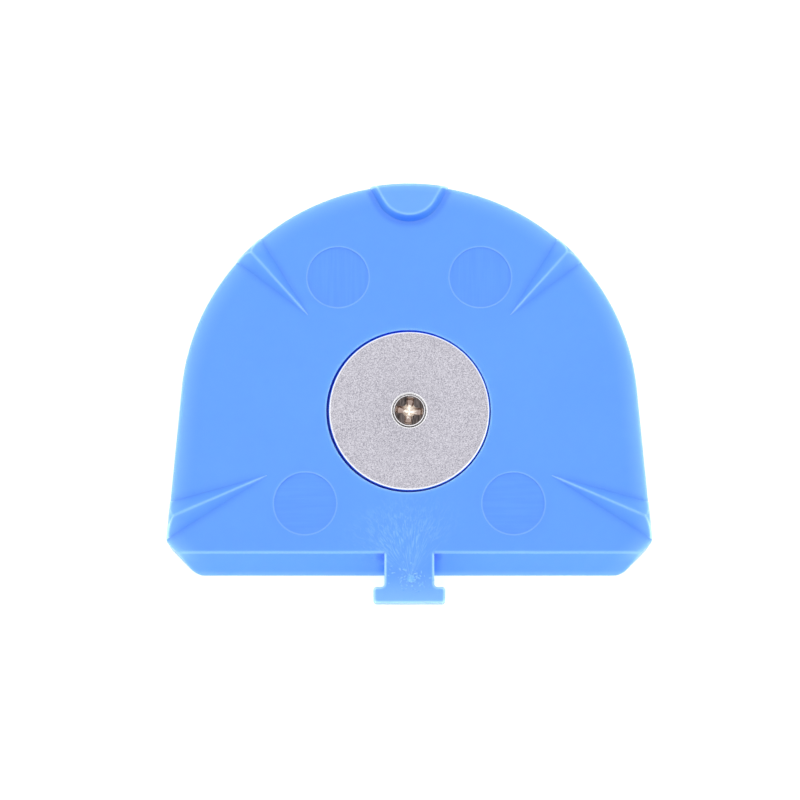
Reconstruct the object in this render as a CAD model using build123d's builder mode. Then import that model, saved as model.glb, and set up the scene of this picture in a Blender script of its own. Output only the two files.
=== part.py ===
from build123d import *
from math import atan2, cos, degrees, hypot, radians, sin, sqrt, tan
import os

# A keyed plate with a magnet let into its face, in millimetres, with +Z up.
# The origin is on the axis of the magnet and its screw, at the face the plate rests on.
# +X runs across the plate, +Y towards its rounded end, -Y towards the T-shaped tab.

# Plate
body_height = 10.0
arch_radius = 35.45
arch_centre_y = 0.55
side_flare = 4.8  # degrees that each side spreads on its way from the arch
corner_y = -20.4  # where a side meets its cut corner
corner_angle = 45.5  # degrees between a cut corner and the X axis
rear_top_y = -22.2
rear_slope = 2.5  # how far the rear wall's foot stands behind its top edge
corner_round = 3.6
side_corner_round = 0.9
rim_round = 0.8
rear_edge_round = 0.3
foot_round = 0.4

# Tray
wall = 1.8
ledge = 2.0  # the step inside the wall that the cover closes against
top_skin = 2.0
pocket_wall = 1.8
boss_wall = 1.4
rib_thickness = 1.2
rib_lift = 1.2  # between the ribs and the cover

# Keys on the face
key_root = 1.8  # how deep the keys are sunk into the plate
scallop_height = 1.2
scallop_draft = 36.0  # degrees, as its flanks lean
scallop_rim_round = 0.8
ridge_rim_round = 1.3
scallop_reach = 6.0  # from the crown of the arch in to the scallop's foot
scallop_angle = 62.0  # degrees between a scallop's flank and the X axis
scallop_round = 5.4
scallop_edge_round = 0.15
ridge_height = 1.3
ridge_crest_round = 0.2
ridge_tip_scale = 0.03  # the share of a ridge's section that is left at its tip
upper_ridge_angle = 45.3
upper_ridge_aim = -2.3  # where the ridge's line meets the Y axis
upper_ridge_length = 14.0
upper_ridge_width = 5.2
lower_ridge_angle = -24.6
lower_ridge_aim = -0.3
lower_ridge_length = 16.5
lower_ridge_width = 5.1

# Round moulding marks, each over a cover screw's boss
mark_diameter = 9.6
mark_depth = 0.08
mark_lip_width = 0.2
mark_lip_height = 0.05
upper_mark_inset = 12.1  # from the rim of the arch
upper_mark_angle = 61.6
lower_mark_inset = 20.8  # from the side
lower_mark_rise = 7.7  # from the rear top edge

# T-shaped tab
tab_thickness = 2.5
tab_stem_width = 7.65
tab_reach = 7.7
tab_bar_width = 11.0
tab_bar_depth = 2.5
tab_round = 0.5
tab_edge_round = 0.2
tab_root = 1.0  # how far the stem is sunk into the rear wall

# Magnet and keeper
magnet_diameter = 25.0
magnet_thickness = 3.0
magnet_edge = 0.35
magnet_drop = 0.05  # how far the magnet's face lies under the plate's
mouth_edge = 0.12
keeper_thickness = 1.2
keeper_clearance = 0.2
pocket_clearance = 0.25
pocket_centre = (-0.11, -0.06)  # the magnet rests to one side in its clearance

# Magnet screw and insert
screw_diameter = 2.5
screw_head_diameter = 4.9
screw_head_drop = 0.12  # how far the head lies under the magnet's face
screw_engagement = 1.9
recess_span = 4.0
recess_arm = 1.1
recess_middle = 2.0
recess_depth = 1.0
mouth_clearance = 0.25
shank_clearance = 0.2
insert_wall = 0.85
insert_lift = 0.3  # between the insert and the cover
flange_width = 0.35
flange_thickness = 0.5

# What both kinds of screw share
cone_angle = 90.0
head_land = 0.25
head_edge = 0.15
tip_chamfer = 0.3
recess_draft = 12.0
recess_turn = -6.0
cone_clearance = 0.05
thread_clearance = 0.05

# Cover, seal and cover screws
cover_thickness = 2.0
cover_clearance = 0.15
cover_edge = 0.3
seal_inset = 0.5  # from the cover's edge
seal_width = 1.2
seal_thickness = 0.8
cover_screw_diameter = 2.2
cover_screw_head = 4.0
cover_screw_length = 6.0
cover_screw_drop = 0.1
cover_screw_clearance = 0.2
cover_screw_spare = 0.6  # how far the pilot hole runs on past the tip
cover_recess_span = 2.6
cover_recess_arm = 0.7
cover_recess_middle = 1.2
cover_recess_depth = 0.7
cover_boss_diameter = 6.0
grip_length = 30.0
grip_width = 1.2
grip_depth = 0.5
grip_pitch = 3.2
grip_count = 8  # an even number keeps the plate's middle flat

# Worked out from the sizes above
flare = radians(side_flare)
rear_base_y = rear_top_y - rear_slope
arch_end = (arch_radius * cos(flare), arch_centre_y + arch_radius * sin(flare))
rim_y = arch_centre_y + arch_radius
half_width = arch_end[0] + (arch_end[1] - corner_y) * tan(flare)
rear_half_width = half_width - (corner_y - rear_base_y) / tan(radians(corner_angle))
beyond = 2 * (rim_y - rear_base_y)  # for cuts that run right through the plate

scallop_apex_y = rim_y - scallop_reach - scallop_round * (1 / cos(radians(scallop_angle)) - 1)
scallop_far_y = rim_y + scallop_round
scallop_half_width = (scallop_far_y - scallop_apex_y) / tan(radians(scallop_angle))

cavity_top = body_height - top_skin
magnet_top = body_height - magnet_drop
magnet_bottom = magnet_top - magnet_thickness
pocket_floor = magnet_bottom - keeper_thickness
pocket_radius = magnet_diameter / 2 + pocket_clearance
cup_bottom = pocket_floor - pocket_wall

cone_slope = tan(radians(cone_angle / 2))
head_top = magnet_top - screw_head_drop
head_radius = screw_head_diameter / 2
mouth_radius = head_radius + mouth_clearance
bore_radius = screw_diameter / 2 + shank_clearance
screw_tip = pocket_floor - screw_engagement
insert_bore = screw_diameter / 2 + thread_clearance
insert_radius = insert_bore + insert_wall
insert_bottom = cover_thickness + insert_lift
flange_radius = insert_radius + flange_width

seal_outer = wall + cover_clearance + seal_inset
cover_screw_tip = cover_screw_drop + cover_screw_length

upper_mark_radius = arch_radius - upper_mark_inset
upper_mark_x = upper_mark_radius * cos(radians(upper_mark_angle))
upper_mark_y = arch_centre_y + upper_mark_radius * sin(radians(upper_mark_angle))
lower_mark_y = rear_top_y + lower_mark_rise
lower_mark_x = arch_end[0] + (arch_end[1] - lower_mark_y) * tan(flare) - lower_mark_inset
mark_centres = [
    (upper_mark_x, upper_mark_y),
    (-upper_mark_x, upper_mark_y),
    (-lower_mark_x, lower_mark_y),
    (lower_mark_x, lower_mark_y),
]

os.makedirs("parts", exist_ok=True)


# The plate's plan at its foot: an arch, two flared sides, two cut corners, a straight rear
with BuildSketch() as sharp_plan:
    with BuildLine():
        Polyline(
            arch_end,
            (half_width, corner_y),
            (rear_half_width, rear_base_y),
            (-rear_half_width, rear_base_y),
            (-half_width, corner_y),
            (-arch_end[0], arch_end[1]),
        )
        ThreePointArc((-arch_end[0], arch_end[1]), (0, rim_y), arch_end)
    make_face()


def plan_face(inset):
    # The plan moved in by inset, with its corners rounded
    with BuildSketch() as face:
        add(sharp_plan.sketch)
        if inset > 0:
            offset(amount=-inset, kind=Kind.INTERSECTION)
        fillet(face.vertices().group_by(Axis.Y)[0], max(corner_round - inset, side_corner_round))
        fillet(face.vertices().group_by(Axis.Y)[2], side_corner_round)
    return face.sketch


def rim_distance(angle):
    # From the magnet's axis out to the rim: to the arch above the X axis, to a side below it
    turn = radians(angle)
    if angle > 0:
        return arch_centre_y * sin(turn) + sqrt(arch_radius**2 - (arch_centre_y * cos(turn)) ** 2)
    return (arch_end[0] + arch_end[1] * tan(flare)) / (cos(turn) + sin(turn) * tan(flare))


def ridge_sections(angle, aim, length, width):
    # A ridge's two ends: almost nothing at its tip, full height at the rim and on past it
    rim_point = Vector(cos(radians(angle)), sin(radians(angle)), 0) * rim_distance(angle)
    outward = (rim_point - Vector(0, aim, 0)).normalized()
    sections = []
    for distance, scale in ((-length, ridge_tip_scale), (width, 1 + width / length)):
        seat = Plane(
            origin=rim_point + outward * distance + Vector(0, 0, body_height),
            x_dir=Vector(-outward.Y, outward.X, 0),
            z_dir=outward,
        )
        side = width / 2 * scale
        with BuildSketch(seat) as section:
            with BuildLine():
                Polyline(
                    (-side, -key_root * scale),
                    (-side, 0),
                    (0, ridge_height * scale),
                    (side, 0),
                    (side, -key_root * scale),
                    close=True,
                )
            make_face()
            fillet(section.vertices().sort_by(Axis.Y)[-1], ridge_crest_round * scale)
        sections.append(section.sketch)
    return sections


def screw_profile(centre, head_z, tip_z, head_radius, shank_radius):
    # Half the outline of a countersunk screw, in the plane through its axis
    way = 1 if tip_z > head_z else -1
    cone_end = head_z + way * (head_land + (head_radius - shank_radius) / cone_slope)
    with BuildSketch(axis_plane(centre)) as profile:
        with BuildLine():
            Polyline(
                (0, head_z),
                (head_radius - head_edge, head_z),
                (head_radius, head_z + way * head_edge),
                (head_radius, head_z + way * head_land),
                (shank_radius, cone_end),
                (shank_radius, tip_z - way * tip_chamfer),
                (shank_radius - tip_chamfer, tip_z),
                (0, tip_z),
                close=True,
            )
        make_face()
    return profile.sketch


def countersink_profile(centre, face_z, head_z, tip_z, head_radius, mouth_radius, bore_radius):
    # Half the outline of the hole that such a screw goes through, with its clearances
    way = 1 if tip_z > head_z else -1
    gap = cone_clearance / sin(radians(cone_angle / 2))
    head_corner = head_z + way * (head_land + gap)
    with BuildSketch(axis_plane(centre)) as profile:
        with BuildLine():
            Polyline(
                (0, face_z),
                (mouth_radius, face_z),
                (mouth_radius, head_corner - way * (mouth_radius - head_radius) / cone_slope),
                (bore_radius, head_corner + way * (head_radius - bore_radius) / cone_slope),
                (bore_radius, tip_z),
                (0, tip_z),
                close=True,
            )
        make_face()
    return profile.sketch


def axis_plane(centre):
    return Plane(origin=(centre[0], centre[1], 0), x_dir=(1, 0, 0), z_dir=(0, -1, 0))


def upright_axis(centre):
    return Axis((centre[0], centre[1], 0), (0, 0, 1))


def cross_recess(centre, head_z, way, span, arm, depth, middle):
    # The cutter for a cross recess, narrowing as it goes in
    seat = Plane(
        origin=(centre[0], centre[1], head_z),
        x_dir=(cos(radians(recess_turn)), sin(radians(recess_turn)), 0),
        z_dir=(0, 0, way),
    )
    with BuildPart() as cutter:
        with BuildSketch(seat):
            Rectangle(span, arm)
            Rectangle(arm, span)
            Circle(middle / 2)
        extrude(amount=depth, taper=recess_draft)
    return cutter.part


def key_space(upper_round):
    # The space that a key may fill: the plan, with a rounded upper edge
    with BuildPart() as space:
        extrude(plan_face(0), amount=body_height + max(ridge_height, scallop_height))
        fillet(space.faces().sort_by(Axis.Z)[-1].edges(), upper_round)
    return space.part


# Keys: four tapered ridges that run out to the rim and one scallop at the crown of the arch
with BuildPart() as ridges:
    loft(
        sections=ridge_sections(
            upper_ridge_angle, upper_ridge_aim, upper_ridge_length, upper_ridge_width
        )
    )
    loft(
        sections=ridge_sections(
            lower_ridge_angle, lower_ridge_aim, lower_ridge_length, lower_ridge_width
        )
    )
    mirror(about=Plane.YZ)
    add(key_space(ridge_rim_round), mode=Mode.INTERSECT)

with BuildPart() as scallop:
    with BuildSketch(Plane.XY.offset(body_height)) as scallop_plan:
        Polygon(
            (0, scallop_apex_y),
            (scallop_half_width, scallop_far_y),
            (-scallop_half_width, scallop_far_y),
            align=None,
        )
        fillet(scallop_plan.vertices().sort_by(Axis.Y)[0], scallop_round)
    extrude(amount=scallop_height, taper=scallop_draft)
    fillet(scallop.faces().sort_by(Axis.Z)[-1].edges(), scallop_edge_round)
    extrude(scallop_plan.sketch, amount=-key_root)
    add(key_space(scallop_rim_round), mode=Mode.INTERSECT)

# T-shaped tab, level with the plate's face
with BuildPart() as tab:
    with BuildSketch(Plane.XY.offset(body_height - tab_thickness)) as tab_plan:
        with Locations((0, rear_top_y + tab_root)):
            Rectangle(tab_stem_width, tab_root + tab_reach, align=(Align.CENTER, Align.MAX))
        with Locations((0, rear_top_y - tab_reach)):
            Rectangle(tab_bar_width, tab_bar_depth, align=(Align.CENTER, Align.MIN))
        fillet(tab_plan.vertices().filter_by(lambda v: v.Y < rear_top_y), tab_round)
    extrude(amount=tab_thickness)
    long_edges = tab.edges().filter_by(lambda e: e.center().Y < rear_top_y - 0.01)
    upper_edges = long_edges.filter_by(lambda e: abs(e.center().Z - body_height) < 0.01)
    fillet(upper_edges, tab_edge_round)
    long_edges = tab.edges().filter_by(lambda e: e.center().Y < rear_top_y - 0.01)
    lower_edges = long_edges.filter_by(
        lambda e: abs(e.center().Z - body_height + tab_thickness) < 0.01
    )
    fillet(lower_edges, tab_edge_round)

# Moulded body: a shallow tray, open underneath, with the magnet's pocket in its face
with BuildPart() as body_shell:
    extrude(plan_face(0), amount=body_height)
    fillet(body_shell.faces().sort_by(Axis.Z)[-1].edges(), rim_round)
    fillet(body_shell.faces().sort_by(Axis.Z)[0].edges(), foot_round)

    # sloping rear wall
    with BuildSketch(Plane.YZ):
        Polygon(
            (rear_top_y, body_height),
            (rear_base_y, 0),
            (rear_base_y - rear_slope, 0),
            (rear_base_y - rear_slope, body_height),
            align=None,
        )
    extrude(amount=beyond, both=True, mode=Mode.SUBTRACT)
    face_edges = body_shell.faces().sort_by(Axis.Z)[-1].edges()
    fillet(face_edges.sort_by(Axis.Y)[0], rear_edge_round)
    add(ridges.part)
    add(scallop.part)
    add(tab.part)

    # hollow, with a step for the cover
    extrude(plan_face(wall + ledge), amount=cavity_top, mode=Mode.SUBTRACT)
    extrude(plan_face(wall), amount=cover_thickness, mode=Mode.SUBTRACT)

    # ribs, screw bosses, the magnet's cup and the insert's boss
    with BuildSketch(Plane.XY.offset(cover_thickness + rib_lift)):
        for x, y in mark_centres:
            with Locations((x / 2, y / 2)):
                Rectangle(hypot(x, y), rib_thickness, rotation=degrees(atan2(y, x)))
    extrude(amount=cavity_top - cover_thickness - rib_lift)
    with BuildSketch(Plane.XY.offset(cover_thickness)):
        with Locations(*mark_centres):
            Circle(cover_boss_diameter / 2)
    extrude(amount=cavity_top - cover_thickness)
    with BuildSketch(Plane.XY.offset(cup_bottom)):
        with Locations(pocket_centre):
            Circle(pocket_radius + pocket_wall)
    extrude(amount=cavity_top - cup_bottom)
    with BuildSketch(Plane.XY.offset(insert_bottom)):
        Circle(insert_radius + boss_wall)
    extrude(amount=pocket_floor - insert_bottom)

    # pocket, insert hole and pilot holes
    with BuildSketch(Plane.XY.offset(pocket_floor)):
        with Locations(pocket_centre):
            Circle(pocket_radius)
    extrude(amount=body_height, mode=Mode.SUBTRACT)
    with BuildSketch(Plane.XY.offset(pocket_floor)):
        Circle(insert_radius)
    extrude(amount=-body_height, mode=Mode.SUBTRACT)
    with BuildSketch(Plane.XY.offset(pocket_floor)):
        Circle(flange_radius)
    extrude(amount=-flange_thickness, mode=Mode.SUBTRACT)
    with BuildSketch(Plane.XY.offset(cover_thickness)):
        with Locations(*mark_centres):
            Circle(cover_screw_diameter / 2 + thread_clearance)
    extrude(amount=cover_screw_tip + cover_screw_spare - cover_thickness, mode=Mode.SUBTRACT)

    # round moulding marks, each a shallow dish with a thin lip
    with BuildSketch(Plane.XY.offset(body_height)):
        with Locations(*mark_centres):
            Circle(mark_diameter / 2 + mark_lip_width)
            Circle(mark_diameter / 2, mode=Mode.SUBTRACT)
    extrude(amount=mark_lip_height)
    with BuildSketch(Plane.XY.offset(body_height)):
        with Locations(*mark_centres):
            Circle(mark_diameter / 2)
    extrude(amount=-mark_depth, mode=Mode.SUBTRACT)
body_shell.part.label = "body_shell"
export_step(body_shell.part, "parts/body_shell.step")

# Plated magnet with a countersunk hole
with BuildPart() as magnet_disc:
    with BuildSketch(Plane.XY.offset(magnet_bottom)):
        Circle(magnet_diameter / 2)
    extrude(amount=magnet_thickness)
    fillet(magnet_disc.edges().filter_by(GeomType.CIRCLE), magnet_edge)
    hole = countersink_profile(
        (0, 0), magnet_top, head_top, magnet_bottom, head_radius, mouth_radius, bore_radius
    )
    revolve(hole, upright_axis((0, 0)), mode=Mode.SUBTRACT)
    mouth = magnet_disc.faces().sort_by(Axis.Z)[-1].edges().sort_by(SortBy.RADIUS)[0]
    chamfer(mouth, mouth_edge)
magnet_disc.part.label = "magnet_disc"
export_step(magnet_disc.part, "parts/magnet_disc.step")

# Steel keeper behind the magnet
with BuildPart() as keeper_plate:
    with BuildSketch(Plane.XY.offset(pocket_floor)):
        Circle(magnet_diameter / 2 - keeper_clearance)
        Circle(bore_radius, mode=Mode.SUBTRACT)
    extrude(amount=keeper_thickness)
keeper_plate.part.label = "keeper_plate"
export_step(keeper_plate.part, "parts/keeper_plate.step")

# Screw that holds the magnet down, with a cross recess
with BuildPart() as magnet_screw:
    shape = screw_profile((0, 0), head_top, screw_tip, head_radius, screw_diameter / 2)
    revolve(shape, upright_axis((0, 0)))
    recess = cross_recess(
        (0, 0), head_top, -1, recess_span, recess_arm, recess_depth, recess_middle
    )
    add(recess, mode=Mode.SUBTRACT)
magnet_screw.part.label = "magnet_screw"
export_step(magnet_screw.part, "parts/magnet_screw.step")

# Flanged brass insert that the screw turns in
with BuildPart() as threaded_insert:
    with BuildSketch(Plane.XY.offset(insert_bottom)):
        Circle(insert_radius)
    extrude(amount=pocket_floor - insert_bottom)
    with BuildSketch(Plane.XY.offset(pocket_floor)):
        Circle(flange_radius)
    extrude(amount=-flange_thickness)
    with BuildSketch(Plane.XY.offset(insert_bottom)):
        Circle(insert_bore)
    extrude(amount=body_height, mode=Mode.SUBTRACT)
threaded_insert.part.label = "threaded_insert"
export_step(threaded_insert.part, "parts/threaded_insert.step")

# Base cover, with the seal's groove above and a grooved grip panel below
with BuildPart() as base_cover:
    extrude(plan_face(wall + cover_clearance), amount=cover_thickness)
    chamfer(base_cover.faces().sort_by(Axis.Z)[0].edges(), cover_edge)
    with BuildSketch(Plane.XY.offset(cover_thickness)):
        add(plan_face(seal_outer))
        add(plan_face(seal_outer + seal_width), mode=Mode.SUBTRACT)
    extrude(amount=-seal_thickness, mode=Mode.SUBTRACT)
    for centre in mark_centres:
        hole = countersink_profile(
            centre,
            0,
            cover_screw_drop,
            cover_thickness,
            cover_screw_head / 2,
            cover_screw_head / 2 + cover_screw_clearance,
            cover_screw_diameter / 2 + cover_screw_clearance,
        )
        revolve(hole, upright_axis(centre), mode=Mode.SUBTRACT)
    with BuildSketch():
        with GridLocations(0, grip_pitch, 1, grip_count):
            SlotOverall(grip_length, grip_width)
    extrude(amount=grip_depth, mode=Mode.SUBTRACT)
base_cover.part.label = "base_cover"
export_step(base_cover.part, "parts/base_cover.step")

# Flat seal between the cover and the step in the body
with BuildPart() as cover_seal:
    with BuildSketch(Plane.XY.offset(cover_thickness - seal_thickness)):
        add(plan_face(seal_outer))
        add(plan_face(seal_outer + seal_width), mode=Mode.SUBTRACT)
    extrude(amount=seal_thickness)
cover_seal.part.label = "cover_seal"
export_step(cover_seal.part, "parts/cover_seal.step")

# Four countersunk screws that close the cover
for number, centre in enumerate(mark_centres, start=1):
    with BuildPart() as cover_screw:
        shape = screw_profile(
            centre,
            cover_screw_drop,
            cover_screw_tip,
            cover_screw_head / 2,
            cover_screw_diameter / 2,
        )
        revolve(shape, upright_axis(centre))
        recess = cross_recess(
            centre,
            cover_screw_drop,
            1,
            cover_recess_span,
            cover_recess_arm,
            cover_recess_depth,
            cover_recess_middle,
        )
        add(recess, mode=Mode.SUBTRACT)
    cover_screw.part.label = f"cover_screw_{number}"
    export_step(cover_screw.part, f"parts/cover_screw_{number}.step")
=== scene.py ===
import math
import random
import bmesh
import bpy
from mathutils import Matrix, Vector


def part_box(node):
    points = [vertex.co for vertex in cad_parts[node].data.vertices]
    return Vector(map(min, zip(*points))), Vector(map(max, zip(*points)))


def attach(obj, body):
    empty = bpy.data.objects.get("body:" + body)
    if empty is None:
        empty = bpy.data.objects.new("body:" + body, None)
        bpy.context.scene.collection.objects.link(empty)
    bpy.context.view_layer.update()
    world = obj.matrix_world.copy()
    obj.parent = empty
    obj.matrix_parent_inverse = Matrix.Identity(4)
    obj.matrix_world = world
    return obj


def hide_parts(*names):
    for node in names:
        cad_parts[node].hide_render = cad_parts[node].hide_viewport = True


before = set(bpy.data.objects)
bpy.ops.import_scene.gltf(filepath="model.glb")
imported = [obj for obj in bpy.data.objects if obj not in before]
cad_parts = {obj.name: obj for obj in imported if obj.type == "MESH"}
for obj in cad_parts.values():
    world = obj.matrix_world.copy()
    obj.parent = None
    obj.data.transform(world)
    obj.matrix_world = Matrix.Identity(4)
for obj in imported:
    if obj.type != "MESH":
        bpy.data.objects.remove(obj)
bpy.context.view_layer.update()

mm = 0.001


# ---- small helpers

def hexColour(code):
    # sRGB hex to the linear values a shader takes
    values = []
    for i in (1, 3, 5):
        c = int(code[i:i + 2], 16) / 255
        values.append(c / 12.92 if c <= 0.04045 else ((c + 0.055) / 1.055) ** 2.4)
    return (*values, 1.0)


def addNode(tree, kind, settings=None, inputs=None):
    # one node with its settings and links; "stops" fills a colour ramp
    node = tree.nodes.new(kind)
    for key, value in (settings or {}).items():
        if key == "stops":
            while len(node.color_ramp.elements) < len(value):
                node.color_ramp.elements.new(0.5)
            for element, (place, colour) in zip(node.color_ramp.elements, value):
                element.position = place
                element.color = colour
        else:
            setattr(node, key, value)
    for key, value in (inputs or {}).items():
        if isinstance(value, bpy.types.NodeSocket):
            tree.links.new(value, node.inputs[key])
        else:
            node.inputs[key].default_value = value
    return node


def startMaterial(name):
    # a named material with an empty tree
    mat = bpy.data.materials.new(name)
    mat.use_nodes = True
    mat.node_tree.nodes.clear()
    return mat, mat.node_tree


def closeMaterial(tree, inputs):
    # the Principled shader and the output at the end of every tree
    shader = addNode(tree, "ShaderNodeBsdfPrincipled", inputs=inputs)
    addNode(tree, "ShaderNodeOutputMaterial", inputs={"Surface": shader.outputs[0]})


def finishPiece(bm, name, materials, rides, replaced=None, sharpOver=35):
    # bmesh to an object at the origin, riding on its CAD body
    bmesh.ops.remove_doubles(bm, verts=bm.verts, dist=1e-7)
    bmesh.ops.recalc_face_normals(bm, faces=bm.faces)
    mesh = bpy.data.meshes.new(name)
    for f in bm.faces:
        f.smooth = True
    bm.to_mesh(mesh)
    bm.free()
    mesh.set_sharp_from_angle(angle=math.radians(sharpOver))
    for m in materials:
        mesh.materials.append(m)
    obj = bpy.data.objects.new(name, mesh)
    bpy.context.scene.collection.objects.link(obj)
    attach(obj, rides)
    if replaced:
        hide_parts(replaced)
    return obj


def spinOutline(bm, outline, steps, centre):
    # turns an outline of (radius, height) in millimetres about an upright axis
    verts = [bm.verts.new((centre.x + r * mm, centre.y, z * mm)) for r, z in outline]
    edges = [bm.edges.new(pair) for pair in zip(verts, verts[1:])]
    bmesh.ops.spin(bm, geom=verts + edges, cent=centre, axis=(0, 0, 1), angle=2 * math.pi,
                   steps=steps, use_merge=True, use_duplicate=False)


# ---- camera, light and floor

camera = {"lens": 125.0, "distance": 0.430, "elevation": 80.0, "aim": (-0.00143, 0.00162, 0.010)}


def placeCamera(s):
    cam = bpy.data.objects.new("camera", bpy.data.cameras.new("camera"))
    bpy.context.scene.collection.objects.link(cam)
    cam.data.lens = s["lens"]
    cam.data.sensor_width = 36.0
    cam.data.clip_start = 0.01
    cam.data.clip_end = 20
    e = math.radians(s["elevation"])
    back = Vector((0, -math.cos(e), math.sin(e)))
    cam.location = Vector(s["aim"]) + back * s["distance"]
    cam.rotation_euler = (-back).to_track_quat("-Z", "Y").to_euler()
    bpy.context.scene.camera = cam


placeCamera(camera)

light = {
    "surround": 1.30,  # a white tent on every side
    "softboxes": [
        {"name": "overhead", "place": (-0.10, 0.16, 0.75), "size": 0.60, "watts": 0.6},
        {"name": "fill", "place": (0.50, -0.20, 0.45), "size": 0.45, "watts": 0.3},
    ],
}


def placeLights(s):
    world = bpy.data.worlds.new("white tent")
    bpy.context.scene.world = world
    world.use_nodes = True
    world.node_tree.nodes["Background"].inputs["Color"].default_value = (1, 1, 1, 1)
    world.node_tree.nodes["Background"].inputs["Strength"].default_value = s["surround"]
    for box in s["softboxes"]:
        data = bpy.data.lights.new(box["name"], "AREA")
        data.shape = "SQUARE"
        data.size = box["size"]
        data.energy = box["watts"]
        lamp = bpy.data.objects.new(box["name"], data)
        bpy.context.scene.collection.objects.link(lamp)
        lamp.location = box["place"]
        lamp.rotation_euler = (-lamp.location).to_track_quat("-Z", "Y").to_euler()
    bpy.context.scene.view_settings.view_transform = "Standard"


placeLights(light)


# white paper lit from behind as well, a hair low so that no faces coincide
floorSheet = {"colour": "#FAFAFA", "half": 3.0, "drop": 0.02, "backLight": 0.22}


def makeFloor(s):
    bm = bmesh.new()
    bmesh.ops.create_grid(bm, x_segments=1, y_segments=1, size=s["half"])
    bmesh.ops.translate(bm, vec=(0, 0, -s["drop"] * mm), verts=bm.verts)
    mesh = bpy.data.meshes.new("floor")
    bm.to_mesh(mesh)
    bm.free()
    mat, tree = startMaterial("white paper sweep")
    closeMaterial(tree, {"Base Color": hexColour(s["colour"]), "Roughness": 0.9, "Specular IOR Level": 0.2,
                         "Emission Color": (1, 1, 1, 1), "Emission Strength": s["backLight"]})
    mesh.materials.append(mat)
    floor = bpy.data.objects.new("floor", mesh)
    bpy.context.scene.collection.objects.link(floor)


makeFloor(floorSheet)
print("stage: camera, light and floor")


# ---- moulded body: polypropylene, satin from its mould; it lets a little light through, and on top of that
# thin edges get a painted highlight and hollows get painted shade

body = {
    # deep serves the plastic's own colour drift, the marks and the painted shade in hollows; the edge tint is
    # a painted highlight; glow is painted light and also tints the flow lines
    "colour": "#5192E3", "deep": "#2F6FDC", "paintedEdgeHighlight": "#A8D0F8", "glow": "#88BCF4", "shade": "#1568F0",
    "roughness": 0.38, "ior": 1.49, "scatter": 0.8, "scatterMm": (0.9, 1.2, 2.2),
    "cloudMm": 14.0, "grainMm": 0.25, "rippleMm": 5.0, "valleyMm": 1.35, "edgeMm": 0.5,
    # the face's outline, in millimetres and degrees
    "arch": 35.45, "archY": 0.55, "flare": 4.8, "corner": (37.33, -20.4), "cutAngle": 45.5,
    "tabRoot": -22.2, "tabEnd": -29.9, "stem": 3.825, "gate": (0.2, -26.2),
    # painted light from behind: at the rim, in the tab and in what stands up from the face
    "rim": {"wide": 3.4, "hairline": 0.45, "whiter": 0.45,
            "foot": 6.0, "head": 9.6, "low": 0.15, "high": 0.62},
    "tab": {"start": 2.4, "amount": 0.50},
    "raised": {"foot": 10.5, "head": 11.1, "amount": 0.20},
    # the rear wall's foot stands 2.5 mm behind the tab's root, and the mask of its painted shade reaches just
    # past that
    "rear": {"reach": 2.7, "besideStem": 1.6, "plain": 0.13, "deepest": 0.75, "footTop": 3.0, "foot": 0.6},
    "marks": {"upper": (11.1, 21.08), "lower": (16.0, -14.5), "radius": 4.8, "lines": 0.35, "turn": -6.0,
              "slantLines": 0.4, "slantTurn": -24.0, "lineLength": 9.0, "deepest": 0.26, "least": 0.10},
    "flow": {"turns": 30.0, "stroke": 0.8, "lean": 0.18, "halfAngle": 1.15, "start": 1.5, "full": 6.0,
             "fades": 11.0, "end": 18.0, "amount": 0.50},
    "pocket": {"centre": (-0.11, -0.06), "radius": 12.75, "edge": 0.9, "light": "#141EA0", "strength": 0.35},
}


def rearShade(tree, where, s):
    # painted shade on the rear wall under the tab, most of all beside the stem; its foot is painted lighter,
    # as painted light
    r = s["rear"]
    part = addNode(tree, "ShaderNodeSeparateXYZ", inputs={0: where})
    side = addNode(tree, "ShaderNodeMath", {"operation": "ABSOLUTE"}, {0: part.outputs["X"]}).outputs[0]
    normal = addNode(tree, "ShaderNodeNewGeometry").outputs["Normal"]
    facing = addNode(tree, "ShaderNodeSeparateXYZ", inputs={0: normal})
    backwards = addNode(tree, "ShaderNodeMapRange", None, {
        "Value": facing.outputs["Y"], "From Min": -0.6, "From Max": -0.9}).outputs[0]
    underTab = addNode(tree, "ShaderNodeMath", {"operation": "GREATER_THAN"}, {
        0: part.outputs["Y"], 1: (s["tabRoot"] - r["reach"]) * mm}).outputs[0]
    wall = addNode(tree, "ShaderNodeMath", {"operation": "MULTIPLY"}, {0: backwards, 1: underTab}).outputs[0]
    nearStem = addNode(tree, "ShaderNodeMapRange", {"interpolation_type": "SMOOTHSTEP"}, {
        "Value": side, "From Min": (s["stem"] + r["besideStem"]) * mm, "From Max": s["stem"] * mm,
        "To Min": r["plain"], "To Max": r["deepest"]}).outputs[0]
    shade = addNode(tree, "ShaderNodeMath", {"operation": "MULTIPLY"}, {0: wall, 1: nearStem}).outputs[0]
    low = addNode(tree, "ShaderNodeMapRange", {"interpolation_type": "SMOOTHSTEP"}, {
        "Value": part.outputs["Z"], "From Min": r["footTop"] * mm, "From Max": -0.5 * mm,
        "To Min": 0.0, "To Max": r["foot"]}).outputs[0]
    foot = addNode(tree, "ShaderNodeMath", {"operation": "MULTIPLY"}, {0: wall, 1: low}).outputs[0]
    return wall, shade, foot


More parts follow.
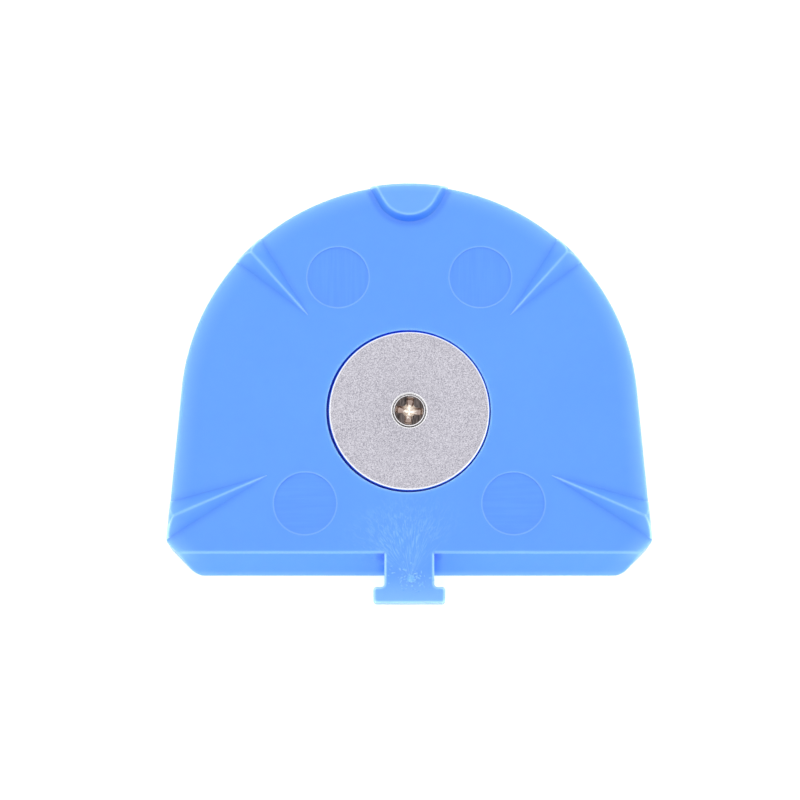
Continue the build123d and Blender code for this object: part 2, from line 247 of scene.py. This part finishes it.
def rimDistance(tree, part, folded, s):
    # distance in from the rim: the arch, the flared side or the cut corner, whichever is nearest
    fromCentre = addNode(tree, "ShaderNodeVectorMath", {"operation": "DISTANCE"},
                         {0: folded, 1: (0, s["archY"] * mm, 0)}).outputs["Value"]
    fromArch = addNode(tree, "ShaderNodeMath", {"operation": "SUBTRACT"},
                       {0: s["arch"] * mm, 1: fromCentre}).outputs[0]
    flare, cut = math.radians(s["flare"]), math.radians(s["cutAngle"])
    corner = Vector((s["corner"][0], s["corner"][1], 0)) * mm
    fromLines = []
    for way in (Vector((math.cos(flare), math.sin(flare), 0)), Vector((math.sin(cut), -math.cos(cut), 0))):
        along = addNode(tree, "ShaderNodeVectorMath", {"operation": "DOT_PRODUCT"},
                        {0: folded, 1: way}).outputs["Value"]
        fromLines.append(addNode(tree, "ShaderNodeMath", {"operation": "SUBTRACT"},
                                 {0: way.dot(corner), 1: along}).outputs[0])
    onArch = addNode(tree, "ShaderNodeMath", {"operation": "GREATER_THAN"}, {
        0: part.outputs["Y"], 1: (s["archY"] + s["arch"] * math.sin(flare)) * mm}).outputs[0]
    fromSide = addNode(tree, "ShaderNodeMix", {"data_type": "FLOAT"},
                       {0: onArch, 2: fromLines[0], 3: fromArch}).outputs[0]
    return addNode(tree, "ShaderNodeMath", {"operation": "MINIMUM"},
                   {0: fromSide, 1: fromLines[1]}).outputs[0]


def backLight(tree, part, inward, s):
    # painted glow: the rim is painted lighter, more so in its last half millimetre, and the painted glow
    # fades down the wall
    rim, tab, raised = s["rim"], s["tab"], s["raised"]
    height = part.outputs["Z"]
    near = addNode(tree, "ShaderNodeMapRange", None, {
        "Value": inward, "From Min": rim["wide"] * mm, "From Max": 0.0}).outputs[0]
    glow = addNode(tree, "ShaderNodeMath", {"operation": "POWER"}, {0: near, 1: 2.0}).outputs[0]
    hairline = addNode(tree, "ShaderNodeMapRange", None, {
        "Value": inward, "From Min": rim["hairline"] * mm, "From Max": 0.0,
        "To Min": 0.0, "To Max": rim["whiter"]}).outputs[0]
    glow = addNode(tree, "ShaderNodeMath", {"operation": "ADD"}, {0: glow, 1: hairline}).outputs[0]
    fade = addNode(tree, "ShaderNodeMapRange", None, {
        "Value": height, "From Min": rim["foot"] * mm, "From Max": rim["head"] * mm,
        "To Min": rim["low"], "To Max": rim["high"]}).outputs[0]
    glow = addNode(tree, "ShaderNodeMath", {"operation": "MULTIPLY"}, {0: glow, 1: fade}).outputs[0]
    # painted light as well: the thin tab is painted as lit from under, and what stands up from the face as
    # lit from behind
    inTab = addNode(tree, "ShaderNodeMapRange", {"interpolation_type": "SMOOTHSTEP"}, {
        "Value": part.outputs["Y"], "From Min": (s["tabRoot"] - tab["start"]) * mm,
        "From Max": s["tabEnd"] * mm, "To Min": 0.0, "To Max": tab["amount"]}).outputs[0]
    inRaised = addNode(tree, "ShaderNodeMapRange", None, {
        "Value": height, "From Min": raised["foot"] * mm, "From Max": raised["head"] * mm,
        "To Min": 0.0, "To Max": raised["amount"]}).outputs[0]
    for other in (inTab, inRaised):
        glow = addNode(tree, "ShaderNodeMath", {"operation": "MAXIMUM"}, {0: glow, 1: other}).outputs[0]
    return glow


def roundMarks(tree, where, part, folded, s):
    # inside the round marks the face is a touch deeper and keeps the cutter's lines
    m = s["marks"]
    near = [addNode(tree, "ShaderNodeVectorMath", {"operation": "DISTANCE"},
                    {0: folded, 1: (m[key][0] * mm, m[key][1] * mm, 0)}).outputs["Value"]
            for key in ("upper", "lower")]
    nearest = addNode(tree, "ShaderNodeMath", {"operation": "MINIMUM"}, {0: near[0], 1: near[1]}).outputs[0]
    inMark = addNode(tree, "ShaderNodeMapRange", None, {
        "Value": nearest, "From Min": (m["radius"] + 0.05) * mm,
        "From Max": (m["radius"] - 0.15) * mm}).outputs[0]
    lip = addNode(tree, "ShaderNodeMapRange", None, {
        "Value": nearest, "From Min": (m["radius"] + 0.6) * mm,
        "From Max": (m["radius"] + 0.4) * mm}).outputs[0]
    strokes = []
    for turn, scale in ((m["turn"], (1 / (m["lines"] * mm), 1 / (m["lineLength"] * mm), 0)),
                        (m["slantTurn"], (1 / (m["lineLength"] * mm), 1 / (m["slantLines"] * mm), 0))):
        turned = addNode(tree, "ShaderNodeMapping", None, {
            "Vector": where, "Rotation": (0, 0, math.radians(turn)), "Scale": scale}).outputs[0]
        strokes.append(addNode(tree, "ShaderNodeTexNoise", None, {
            "Vector": turned, "Scale": 1.0, "Detail": 2.0}).outputs["Fac"])
    upper = addNode(tree, "ShaderNodeMath", {"operation": "GREATER_THAN"},
                    {0: part.outputs["Y"], 1: 0.0}).outputs[0]
    lines = addNode(tree, "ShaderNodeMix", {"data_type": "FLOAT"},
                    {0: upper, 2: strokes[1], 3: strokes[0]}).outputs[0]
    depth = addNode(tree, "ShaderNodeMapRange", None, {
        "Value": lines, "From Min": 0.35, "From Max": 0.65,
        "To Min": m["deepest"], "To Max": m["least"]}).outputs[0]
    deeper = addNode(tree, "ShaderNodeMath", {"operation": "MULTIPLY"}, {0: inMark, 1: depth}).outputs[0]
    return deeper, lip


def flowLines(tree, where, s):
    # flow lines fan out of the gate on the tab, as far as the magnet's pocket
    f = s["flow"]
    away = addNode(tree, "ShaderNodeVectorMath", {"operation": "SUBTRACT"}, {
        0: where, 1: (s["gate"][0] * mm, s["gate"][1] * mm, 0)}).outputs[0]
    awayParts = addNode(tree, "ShaderNodeSeparateXYZ", inputs={0: away})
    angle = addNode(tree, "ShaderNodeMath", {"operation": "ARCTAN2"},
                    {0: awayParts.outputs["X"], 1: awayParts.outputs["Y"]}).outputs[0]
    reach = addNode(tree, "ShaderNodeVectorMath", {"operation": "LENGTH"}, {0: away}).outputs["Value"]
    polar = addNode(tree, "ShaderNodeCombineXYZ", None, {"X": angle, "Y": reach}).outputs[0]
    scaled = addNode(tree, "ShaderNodeMapping", None, {
        "Vector": polar, "Scale": (f["turns"], 1 / (f["stroke"] * mm), 1)}).outputs[0]
    streaks = addNode(tree, "ShaderNodeTexNoise", None, {
        "Vector": scaled, "Scale": 1.0, "Detail": 3.0, "Roughness": 0.6, "Distortion": 1.0}).outputs["Fac"]
    flow = addNode(tree, "ShaderNodeMapRange", None, {
        "Value": streaks, "From Min": 0.46, "From Max": 0.64,
        "To Min": 0.0, "To Max": f["amount"]}).outputs[0]
    # strongest a little to the left; gone beside the gate, and again near the pocket
    leaned = addNode(tree, "ShaderNodeMath", {"operation": "ADD"}, {0: angle, 1: f["lean"]}).outputs[0]
    offAxis = addNode(tree, "ShaderNodeMath", {"operation": "ABSOLUTE"}, {0: leaned}).outputs[0]
    for value, start, full in ((offAxis, f["halfAngle"], 0.30), (reach, f["end"] * mm, f["fades"] * mm),
                               (reach, f["start"] * mm, f["full"] * mm)):
        mask = addNode(tree, "ShaderNodeMapRange", {"interpolation_type": "SMOOTHSTEP"}, {
            "Value": value, "From Min": start, "From Max": full}).outputs[0]
        flow = addNode(tree, "ShaderNodeMath", {"operation": "MULTIPLY"}, {0: flow, 1: mask}).outputs[0]
    return flow


def pocketGap(tree, part, s):
    # painted glow: the gap round the magnet glows a faint navy, as if light came through the wall; the
    # pocket's own edge is thick behind, so it gets little painted shade or painted highlight
    p = s["pocket"]
    flat = addNode(tree, "ShaderNodeCombineXYZ", None, {
        "X": part.outputs["X"], "Y": part.outputs["Y"]}).outputs[0]
    fromPocket = addNode(tree, "ShaderNodeVectorMath", {"operation": "DISTANCE"}, {
        0: flat, 1: (p["centre"][0] * mm, p["centre"][1] * mm, 0)}).outputs["Value"]
    inside = addNode(tree, "ShaderNodeMath", {"operation": "LESS_THAN"},
                     {0: fromPocket, 1: (p["radius"] + 0.03) * mm}).outputs[0]
    paintedGapGlow = addNode(tree, "ShaderNodeMath", {"operation": "MULTIPLY"},
                      {0: inside, 1: p["strength"]}).outputs[0]
    thick = addNode(tree, "ShaderNodeMath", {"operation": "LESS_THAN"},
                    {0: fromPocket, 1: (p["radius"] + p["edge"]) * mm}).outputs[0]
    return paintedGapGlow, thick


def mouldedPlastic(name, s, onBody):
    mat, tree = startMaterial(name)
    where = addNode(tree, "ShaderNodeTexCoord").outputs["Object"]
    # colour drifts a little across the moulding
    cloud = addNode(tree, "ShaderNodeTexNoise", inputs={
        "Vector": where, "Scale": 1 / (s["cloudMm"] * mm), "Detail": 3.0}).outputs["Fac"]
    drift = addNode(tree, "ShaderNodeMapRange", None, {
        "Value": cloud, "From Min": 0.35, "From Max": 0.65, "To Min": 0.0, "To Max": 0.06}).outputs[0]
    # painted shade in the hollows and a painted highlight on thin edges, both read from ambient occlusion
    paintedValleyShade = addNode(tree, "ShaderNodeAmbientOcclusion", {"only_local": True, "samples": 16},
                     {"Distance": s["valleyMm"] * mm}).outputs["AO"]
    depths = ((0.60, 0.55), (0.82, 0.42), (0.95, 0.58), (0.99, 0.06))
    greys = [(place, (grey, grey, grey, 1)) for place, grey in depths]
    paintedValleyShade = addNode(tree, "ShaderNodeValToRGB", {"stops": greys}, {"Fac": paintedValleyShade}).outputs["Color"]
    edge = addNode(tree, "ShaderNodeAmbientOcclusion", {"only_local": True, "inside": True, "samples": 16},
                   {"Distance": s["edgeMm"] * mm}).outputs["AO"]
    edge = addNode(tree, "ShaderNodeMapRange", None, {
        "Value": edge, "From Min": 0.97, "From Max": 0.66, "To Min": 0.0, "To Max": 1.0}).outputs[0]
    wall, shade, foot = rearShade(tree, where, s)
    # seen this flat, the wall would mirror the white tent, so its sheen is held down
    sheen = addNode(tree, "ShaderNodeMapRange", None, {
        "Value": wall, "To Min": 0.5, "To Max": 0.08}).outputs[0]
    # the drift is the plastic's own; the rear wall's shade and its foot's glow are painted shade and painted
    # light
    tints = [(drift, "deep"), (shade, "shade"), (foot, "glow")]
    paintedGapGlow = 0.0
    if onBody:
        part = addNode(tree, "ShaderNodeSeparateXYZ", inputs={0: where})
        side = addNode(tree, "ShaderNodeMath", {"operation": "ABSOLUTE"}, {0: part.outputs["X"]}).outputs[0]
        folded = addNode(tree, "ShaderNodeCombineXYZ", inputs={"X": side, "Y": part.outputs["Y"]}).outputs[0]
        inward = rimDistance(tree, part, folded, s)
        deeper, lip = roundMarks(tree, where, part, folded, s)
        paintedGapGlow, thick = pocketGap(tree, part, s)
        # the back light is painted light; the flow lines and the marks' tone are the moulding's own
        tints += [(backLight(tree, part, inward, s), "glow"), (flowLines(tree, where, s), "glow"),
                  (deeper, "deep")]
        # the marks' lips and the pocket's edge get little painted shade or painted highlight; the painted
        # shade fades out towards the rim
        dull = addNode(tree, "ShaderNodeMath", {"operation": "MAXIMUM"}, {0: lip, 1: thick}).outputs[0]
        lessValley = addNode(tree, "ShaderNodeMapRange", None, {
            "Value": dull, "To Min": 1.0, "To Max": 0.15}).outputs[0]
        lessEdge = addNode(tree, "ShaderNodeMapRange", None, {
            "Value": dull, "To Min": 1.0, "To Max": 0.20}).outputs[0]
        shut = addNode(tree, "ShaderNodeMapRange", None, {
            "Value": inward, "From Min": 0.0, "From Max": 0.9 * mm, "To Min": 0.15, "To Max": 1.0}).outputs[0]
        for factor in (shut, lessValley):
            paintedValleyShade = addNode(tree, "ShaderNodeMath", {"operation": "MULTIPLY"},
                             {0: paintedValleyShade, 1: factor}).outputs[0]
        edge = addNode(tree, "ShaderNodeMath", {"operation": "MULTIPLY"}, {0: edge, 1: lessEdge}).outputs[0]
    tints += [(paintedValleyShade, "deep"), (edge, "paintedEdgeHighlight")]
    base = hexColour(s["colour"])
    for amount, colour in tints:
        base = addNode(tree, "ShaderNodeMix", {"data_type": "RGBA"},
                       {0: amount, 6: base, 7: hexColour(s[colour])}).outputs[2]
    # mould texture over slow ripples
    grain = addNode(tree, "ShaderNodeTexNoise", inputs={
        "Vector": where, "Scale": 1 / (s["grainMm"] * mm), "Detail": 2.0})
    ripple = addNode(tree, "ShaderNodeTexNoise", inputs={
        "Vector": where, "Scale": 1 / (s["rippleMm"] * mm), "Detail": 2.0})
    low = addNode(tree, "ShaderNodeBump", inputs={
        "Height": ripple.outputs["Fac"], "Strength": 0.3, "Distance": 0.1 * mm})
    fine = addNode(tree, "ShaderNodeBump", inputs={
        "Height": grain.outputs["Fac"], "Strength": 0.15, "Distance": 0.02 * mm, "Normal": low.outputs[0]})
    closeMaterial(tree, {
        "Base Color": base, "Roughness": s["roughness"], "IOR": s["ior"], "Specular IOR Level": sheen,
        "Subsurface Weight": s["scatter"], "Subsurface Scale": mm, "Subsurface Radius": s["scatterMm"],
        # the emission is the painted glow in the pocket's gap
        "Emission Color": hexColour(s["pocket"]["light"]), "Emission Strength": paintedGapGlow,
        "Normal": fine.outputs[0],
    })
    return mat


bluePlastic = mouldedPlastic("moulded sky-blue polypropylene", body, True)
coverPlastic = mouldedPlastic("moulded sky-blue polypropylene, cover", body, False)


# ---- gate scar on the tab: where the moulding was broken off its runner

gate = {"ring": 0.66, "crater": 0.34, "rise": 0.05, "flecks": 90, "fleck": 0.17, "spread": (2.6, 1.9),
        "colour": "#5699E8", "torn": "#78B0EC", "tornMm": 0.3, "faceZ": 10.0, "steps": 32, "seed": 4}


def stressedPlastic(s):
    # the same plastic gone pale where it tore; no depth, so thin flecks stay light
    mat, tree = startMaterial("stress-whitened polypropylene")
    where = addNode(tree, "ShaderNodeTexCoord").outputs["Object"]
    torn = addNode(tree, "ShaderNodeTexNoise", inputs={
        "Vector": where, "Scale": 1 / (s["tornMm"] * mm), "Detail": 3.0}).outputs["Fac"]
    tint = addNode(tree, "ShaderNodeValToRGB", {"stops": [
        (0.35, hexColour(s["colour"])), (0.65, hexColour(s["torn"]))]}, {"Fac": torn}).outputs["Color"]
    bump = addNode(tree, "ShaderNodeBump", inputs={"Height": torn, "Strength": 0.5, "Distance": 0.05 * mm})
    closeMaterial(tree, {"Base Color": tint, "Roughness": 0.45, "Normal": bump.outputs[0]})
    return mat


def makeGateScar(s, b):
    top = s["faceZ"]
    centre = Vector((b["gate"][0] * mm, b["gate"][1] * mm, 0))
    bm = bmesh.new()
    r, c, h = s["ring"], s["crater"], s["rise"]
    spinOutline(bm, [(0, top - 0.06), (0, top + 0.02), (c, top + 0.01), (c + 0.08, top + h),
                     (r - 0.12, top + h), (r, top - 0.06), (0, top - 0.06)], s["steps"], centre)
    dice = random.Random(s["seed"])
    for i in range(s["flecks"]):
        # a fleck is flat and drawn out, and most lie close to the gate
        away = Vector((dice.gauss(0, 0.6) * s["spread"][0], dice.gauss(0, 0.6) * s["spread"][1], 0)) * mm
        size = s["fleck"] * dice.uniform(0.5, 1.2)
        place = centre + away + Vector((0, 0, top * mm))
        shape = Matrix.Translation(place) @ Matrix.Rotation(dice.uniform(0, math.pi), 4, "Z") \
            @ Matrix.Diagonal((1.5, 0.7, 0.22, 1))
        bmesh.ops.create_icosphere(bm, subdivisions=1, radius=size * mm, matrix=shape)
    return finishPiece(bm, "gateScar", [stressedPlastic(s)], "housing")


makeGateScar(gate, body)
print("gate scar: done")


# ---- magnet: sintered disc under tumbled nickel plate, grainy on its face and polished on its edges, which carry a painted highlight

magnet = {"edge": 0.35, "mouth": 2.7, "bore": 1.45, "lip": 0.09, "straight": 0.19, "steps": 180,
          "light": "#C2C0C8", "dark": "#7C7A84", "polishedHighlight": "#F6F6F8", "grainMm": 0.15, "ringMm": 0.27}


def nickelFace(name, s, radius):
    mat, tree = startMaterial(name)
    where = addNode(tree, "ShaderNodeTexCoord").outputs["Object"]
    # grain drawn at 0.15 mm, twice its real size, so that it shows
    grain = addNode(tree, "ShaderNodeTexNoise", None, {"Vector": where, "Scale": 1 / (s["grainMm"] * mm),
                                                       "Detail": 3.0, "Roughness": 0.7}).outputs["Fac"]
    face = addNode(tree, "ShaderNodeValToRGB", {"stops": [
        (0.34, hexColour(s["dark"])), (0.62, hexColour(s["light"]))]}, {"Fac": grain}).outputs["Color"]
    # tumbling polishes the outer corner and the mouth of the hole, and both are painted near white, a painted
    # highlight
    part = addNode(tree, "ShaderNodeSeparateXYZ", inputs={0: where})
    flat = addNode(tree, "ShaderNodeCombineXYZ", None, {
        "X": part.outputs["X"], "Y": part.outputs["Y"]}).outputs[0]
    r = addNode(tree, "ShaderNodeVectorMath", {"operation": "LENGTH"}, {0: flat}).outputs["Value"]
    outer = addNode(tree, "ShaderNodeMapRange", None, {
        "Value": r, "From Min": (radius - s["ringMm"] - 0.1) * mm,
        "From Max": (radius - s["ringMm"] + 0.1) * mm}).outputs[0]
    inner = addNode(tree, "ShaderNodeMapRange", None, {
        "Value": r, "From Min": (s["mouth"] + s["lip"] + 0.03) * mm,
        "From Max": (s["mouth"] + s["lip"]) * mm}).outputs[0]
    polishedHighlight = addNode(tree, "ShaderNodeMath", {"operation": "MAXIMUM"}, {0: outer, 1: inner}).outputs[0]
    base = addNode(tree, "ShaderNodeMix", {"data_type": "RGBA"},
                   {0: polishedHighlight, 6: face, 7: hexColour(s["polishedHighlight"])}).outputs[2]
    rough = addNode(tree, "ShaderNodeMapRange", None, {
        "Value": polishedHighlight, "To Min": 0.48, "To Max": 0.22}).outputs[0]
    bump = addNode(tree, "ShaderNodeBump", inputs={"Height": grain, "Strength": 0.4, "Distance": 0.02 * mm})
    closeMaterial(tree, {"Base Color": base, "Metallic": 1.0, "Roughness": rough, "Normal": bump.outputs[0]})
    return mat


def makeMagnet(s):
    low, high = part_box("magnet_disc")
    centre = Vector(((low.x + high.x) / 2, (low.y + high.y) / 2, 0))
    radius = (high.x - low.x) / 2 / mm
    bottom, top = low.z / mm, high.z / mm
    e, lip = s["edge"], s["lip"]
    coneStart = top - s["straight"]
    outline = [(s["bore"], bottom), (s["bore"], coneStart - (s["mouth"] - s["bore"])),
               (s["mouth"], coneStart), (s["mouth"], top - lip),
               (s["mouth"] + lip * 0.3, top - lip * 0.3), (s["mouth"] + lip, top)]
    outline += [(radius - e + e * math.sin(math.radians(a)), top - e + e * math.cos(math.radians(a)))
                for a in range(0, 91, 15)]
    outline += [(radius - e + e * math.cos(math.radians(a)), bottom + e - e * math.sin(math.radians(a)))
                for a in range(0, 91, 15)]
    outline += [(s["bore"], bottom)]
    bm = bmesh.new()
    spinOutline(bm, outline, s["steps"], centre)
    plate = nickelFace("tumbled nickel plate", s, radius)
    return finishPiece(bm, "magnetPlate", [plate], "magnet", "magnet_disc")


makeMagnet(magnet)
print("magnet: done")


# ---- screws: cold-formed heads under nickel, with a painted dark reflection on the flat and painted highlights on the edge and in the cross recess

def metal(name, dark, light, rough, grainMm, stretch=(1, 1, 1)):
    mat, tree = startMaterial(name)
    where = addNode(tree, "ShaderNodeTexCoord").outputs["Object"]
    drawnOut = addNode(tree, "ShaderNodeMapping", None, {"Vector": where, "Scale": stretch}).outputs[0]
    grain = addNode(tree, "ShaderNodeTexNoise", None, {
        "Vector": drawnOut, "Scale": 1 / (grainMm * mm), "Detail": 3.0}).outputs["Fac"]
    tint = addNode(tree, "ShaderNodeValToRGB", {"stops": [
        (0.35, hexColour(dark)), (0.65, hexColour(light))]}, {"Fac": grain}).outputs["Color"]
    bump = addNode(tree, "ShaderNodeBump", inputs={"Height": grain, "Strength": 0.5, "Distance": 0.004 * mm})
    closeMaterial(tree, {"Base Color": tint, "Metallic": 1.0, "Roughness": rough, "Normal": bump.outputs[0]})
    return mat


def recessPaintedHighlight(name, node, middle, arms, scuffMm):
    # painted highlight: bright on the node's axis, and brown towards the ends of the arms;
    # a screw away from that axis is brown all over
    mat, tree = startMaterial(name)
    where = addNode(tree, "ShaderNodeTexCoord").outputs["Object"]
    low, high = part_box(node)
    part = addNode(tree, "ShaderNodeSeparateXYZ", inputs={0: where})
    flat = addNode(tree, "ShaderNodeCombineXYZ", None, {
        "X": part.outputs["X"], "Y": part.outputs["Y"]}).outputs[0]
    out = addNode(tree, "ShaderNodeVectorMath", {"operation": "DISTANCE"}, {
        0: flat, 1: ((low.x + high.x) / 2, (low.y + high.y) / 2, 0)}).outputs["Value"]
    along = addNode(tree, "ShaderNodeMapRange", None, {
        "Value": out, "From Max": (high.x - low.x) / 2}).outputs[0]
    scuff = addNode(tree, "ShaderNodeTexNoise", inputs={
        "Vector": where, "Scale": 1 / (scuffMm * mm), "Detail": 3.0}).outputs["Fac"]
    uneven = addNode(tree, "ShaderNodeMapRange", None, {
        "Value": scuff, "From Min": 0.3, "From Max": 0.7, "To Min": -0.18, "To Max": 0.18}).outputs[0]
    mixed = addNode(tree, "ShaderNodeMath", {"operation": "ADD"}, {0: along, 1: uneven}).outputs[0]
    tint = addNode(tree, "ShaderNodeValToRGB", {"stops": [
        (0.16, hexColour(middle)), (0.50, hexColour(arms))]}, {"Fac": mixed}).outputs["Color"]
    bump = addNode(tree, "ShaderNodeBump", inputs={"Height": scuff, "Strength": 0.6, "Distance": 0.05 * mm})
    closeMaterial(tree, {"Base Color": tint, "Metallic": 1.0, "Roughness": 0.28, "Normal": bump.outputs[0]})
    return mat


# the turned flat is painted dark, a painted reflection, with fine streaks, and the rolled edge is a thin
# bright ring round it, a painted highlight
headFlatDarkReflection = metal("nickel plate, turned flat, painted dark reflection", "#262222", "#5C5452", 0.30, 0.22, (1, 0.2, 1))
headEdgeHighlight = metal("nickel plate, rolled edge, painted highlight", "#DAD8DA", "#F2F0F2", 0.24, 0.20)
recessHighlight = recessPaintedHighlight(
    "nickel plate, recess with painted highlight", "magnet_screw", "#FFF8EE", "#9A8880", scuffMm=0.45)
shankSteel = metal("nickel plate, rolled thread", "#8C8A88", "#B4B2B0", 0.30, 0.20)

magnetScrew = {
    "head": 4.9, "edge": 0.13, "land": 0.10, "shank": 2.5, "tipIn": 0.3, "pitch": 0.45, "threadDeep": 0.22,
    "span": 4.3, "arm": 1.15, "inner": 0.50, "end": 0.34, "lip": 0.06, "deep": 1.25, "turn": 6.0, "steps": 64,
}
coverScrew = {
    "head": 4.0, "edge": 0.15, "land": 0.10, "shank": 2.2, "tipIn": 0.3, "pitch": 0.80, "threadDeep": 0.22,
    "span": 2.7, "arm": 0.72, "inner": 0.30, "end": 0.20, "lip": 0.06, "deep": 0.85, "turn": 6.0, "steps": 48,
}


def growRing(bm, edges, scale, drop):
    # pulls a ring of edges down and scales it about the axis; gives back the new ring
    made = bmesh.ops.extrude_edge_only(bm, edges=edges)["geom"]
    verts = [g for g in made if isinstance(g, bmesh.types.BMVert)]
    ring = [g for g in made if isinstance(g, bmesh.types.BMEdge) and all(v in verts for v in g.verts)]
    bmesh.ops.scale(bm, vec=(scale, scale, 1), verts=verts)
    bmesh.ops.translate(bm, vec=(0, 0, -drop * mm), verts=verts)
    return ring


def makeCrossScrew(name, s, node, up, rides):
    low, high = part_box(node)
    length = (high.z - low.z) / mm
    bm = bmesh.new()
    # a square grows four arms, then its corners are rounded
    bmesh.ops.create_grid(bm, x_segments=1, y_segments=1, size=s["arm"] / 2 * mm)
    for edge in bm.edges[:]:
        out = (edge.verts[0].co + edge.verts[1].co).normalized()
        made = bmesh.ops.extrude_edge_only(bm, edges=[edge])["geom"]
        bmesh.ops.translate(bm, vec=out * (s["span"] - s["arm"]) / 2 * mm,
                            verts=[g for g in made if isinstance(g, bmesh.types.BMVert)])
    bmesh.ops.dissolve_faces(bm, faces=bm.faces[:])
    inner = [v for v in bm.verts if v.co.length < s["arm"] * mm]
    outer = [v for v in bm.verts if v not in inner]
    bmesh.ops.bevel(bm, geom=inner, affect="VERTICES", offset=s["inner"] * mm, offset_type="OFFSET",
                    segments=5, profile=0.5, material=-1)
    outer = [v for v in outer if v.is_valid]
    bmesh.ops.bevel(bm, geom=outer, affect="VERTICES", offset=s["end"] * mm, offset_type="OFFSET",
                    segments=4, profile=0.5, material=-1)
    turned = Matrix.Rotation(math.radians(-s["turn"]), 3, "Z")
    bmesh.ops.rotate(bm, cent=(0, 0, 0), matrix=turned, verts=bm.verts)
    cross = bm.edges[:]
    bmesh.ops.delete(bm, geom=bm.faces[:], context="FACES_ONLY")
    # the flat of the head, filled in round the cross
    faceRadius = s["head"] / 2 - s["edge"]
    made = bmesh.ops.create_circle(bm, cap_ends=False, radius=faceRadius * mm, segments=s["steps"])
    circle = list({e for v in made["verts"] for e in v.link_edges})
    bmesh.ops.triangle_fill(bm, use_beauty=True, use_dissolve=False, edges=cross + circle)
    for f in bm.faces:
        f.material_index = 0
    # the recess: a rounded lip, steep walls, then a shallow cone
    ring = growRing(bm, cross, 0.975, s["lip"])
    lipFaces = {f for e in ring for f in e.link_faces}
    for drawnIn, share in ((0.84, 0.55), (0.45, 0.30), (0.10, 0.15)):  # share is of the whole depth
        ring = growRing(bm, ring, drawnIn, s["deep"] * share)
    bmesh.ops.edgeloop_fill(bm, edges=ring)
    for f in bm.faces:
        if f.calc_center_median().z < -1e-7:
            f.material_index = 2
    for f in lipFaces:
        f.material_index = 1
    recessFaces = set(bm.faces)
    # rolled edge, cone, thread and tip
    rolled = s["edge"] * 0.8  # the rolled edge is a little wider than it is high
    ring = growRing(bm, circle, s["head"] / 2 / faceRadius, rolled)
    edgeFaces = set(bm.faces) - recessFaces
    ring = growRing(bm, ring, 1.0, s["land"])
    coneDrop = (s["head"] - s["shank"]) / 2
    ring = growRing(bm, ring, s["shank"] / s["head"], coneDrop)
    used = rolled + s["land"] + coneDrop
    root = 1 - 2 * s["threadDeep"] / s["shank"]
    turns = int((length - used - s["tipIn"]) / s["pitch"])
    for i in range(turns):
        for scale, share in ((root, 0.45), (1 / root, 0.45), (1.0, 0.10)):  # share is of the pitch
            ring = growRing(bm, ring, scale, s["pitch"] * share)
    rest = length - used - s["tipIn"] - turns * s["pitch"]
    ring = growRing(bm, ring, 1.0, rest)
    ring = growRing(bm, ring, 1 - 2 * s["tipIn"] / s["shank"], s["tipIn"])
    bmesh.ops.edgeloop_fill(bm, edges=ring)
    for f in set(bm.faces) - recessFaces:
        f.material_index = 1 if f in edgeFaces else 3
    if not up:
        bmesh.ops.rotate(bm, cent=(0, 0, 0), matrix=Matrix.Rotation(math.pi, 3, "X"), verts=bm.verts)
    place = Vector(((low.x + high.x) / 2, (low.y + high.y) / 2, high.z if up else low.z))
    bmesh.ops.translate(bm, vec=place, verts=bm.verts)
    surfaces = [headFlatDarkReflection, headEdgeHighlight, recessHighlight, shankSteel]
    return finishPiece(bm, name, surfaces, rides, node, 30)


makeCrossScrew("centreScrew", magnetScrew, "magnet_screw", True, "screw")
for i in range(1, 5):
    makeCrossScrew(f"coverScrew{i}", coverScrew, f"cover_screw_{i}", False, "housing")
print("screws: done")


# ---- the hidden parts keep their CAD shapes; zinc gives the steel a faint mottle, the brass shows
# fine turning, and the rubber is dull and pebbled

keeperSteel = metal("zinc-plated steel", "#8E9298", "#B2B6BC", 0.40, 0.60)
brass = metal("turned brass", "#B08A3C", "#D8B262", 0.28, 0.50, (1, 1, 8))
rubber, rubberTree = startMaterial("moulded black rubber")
closeMaterial(rubberTree, {
    "Base Color": hexColour("#1C1C1E"), "Roughness": 0.7,
    "Normal": addNode(rubberTree, "ShaderNodeBump", None, {
        "Strength": 0.4, "Distance": 0.02 * mm,
        "Height": addNode(rubberTree, "ShaderNodeTexNoise", None, {
            "Vector": addNode(rubberTree, "ShaderNodeTexCoord").outputs["Object"],
            "Scale": 1 / (0.3 * mm)}).outputs["Fac"]}).outputs[0]})

finishes = {
    "body_shell": bluePlastic, "base_cover": coverPlastic, "keeper_plate": keeperSteel,
    "threaded_insert": brass, "cover_seal": rubber,
}
for node, mat in finishes.items():
    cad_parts[node].data.materials.clear()
    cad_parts[node].data.materials.append(mat)
print("hidden parts: finishes set")
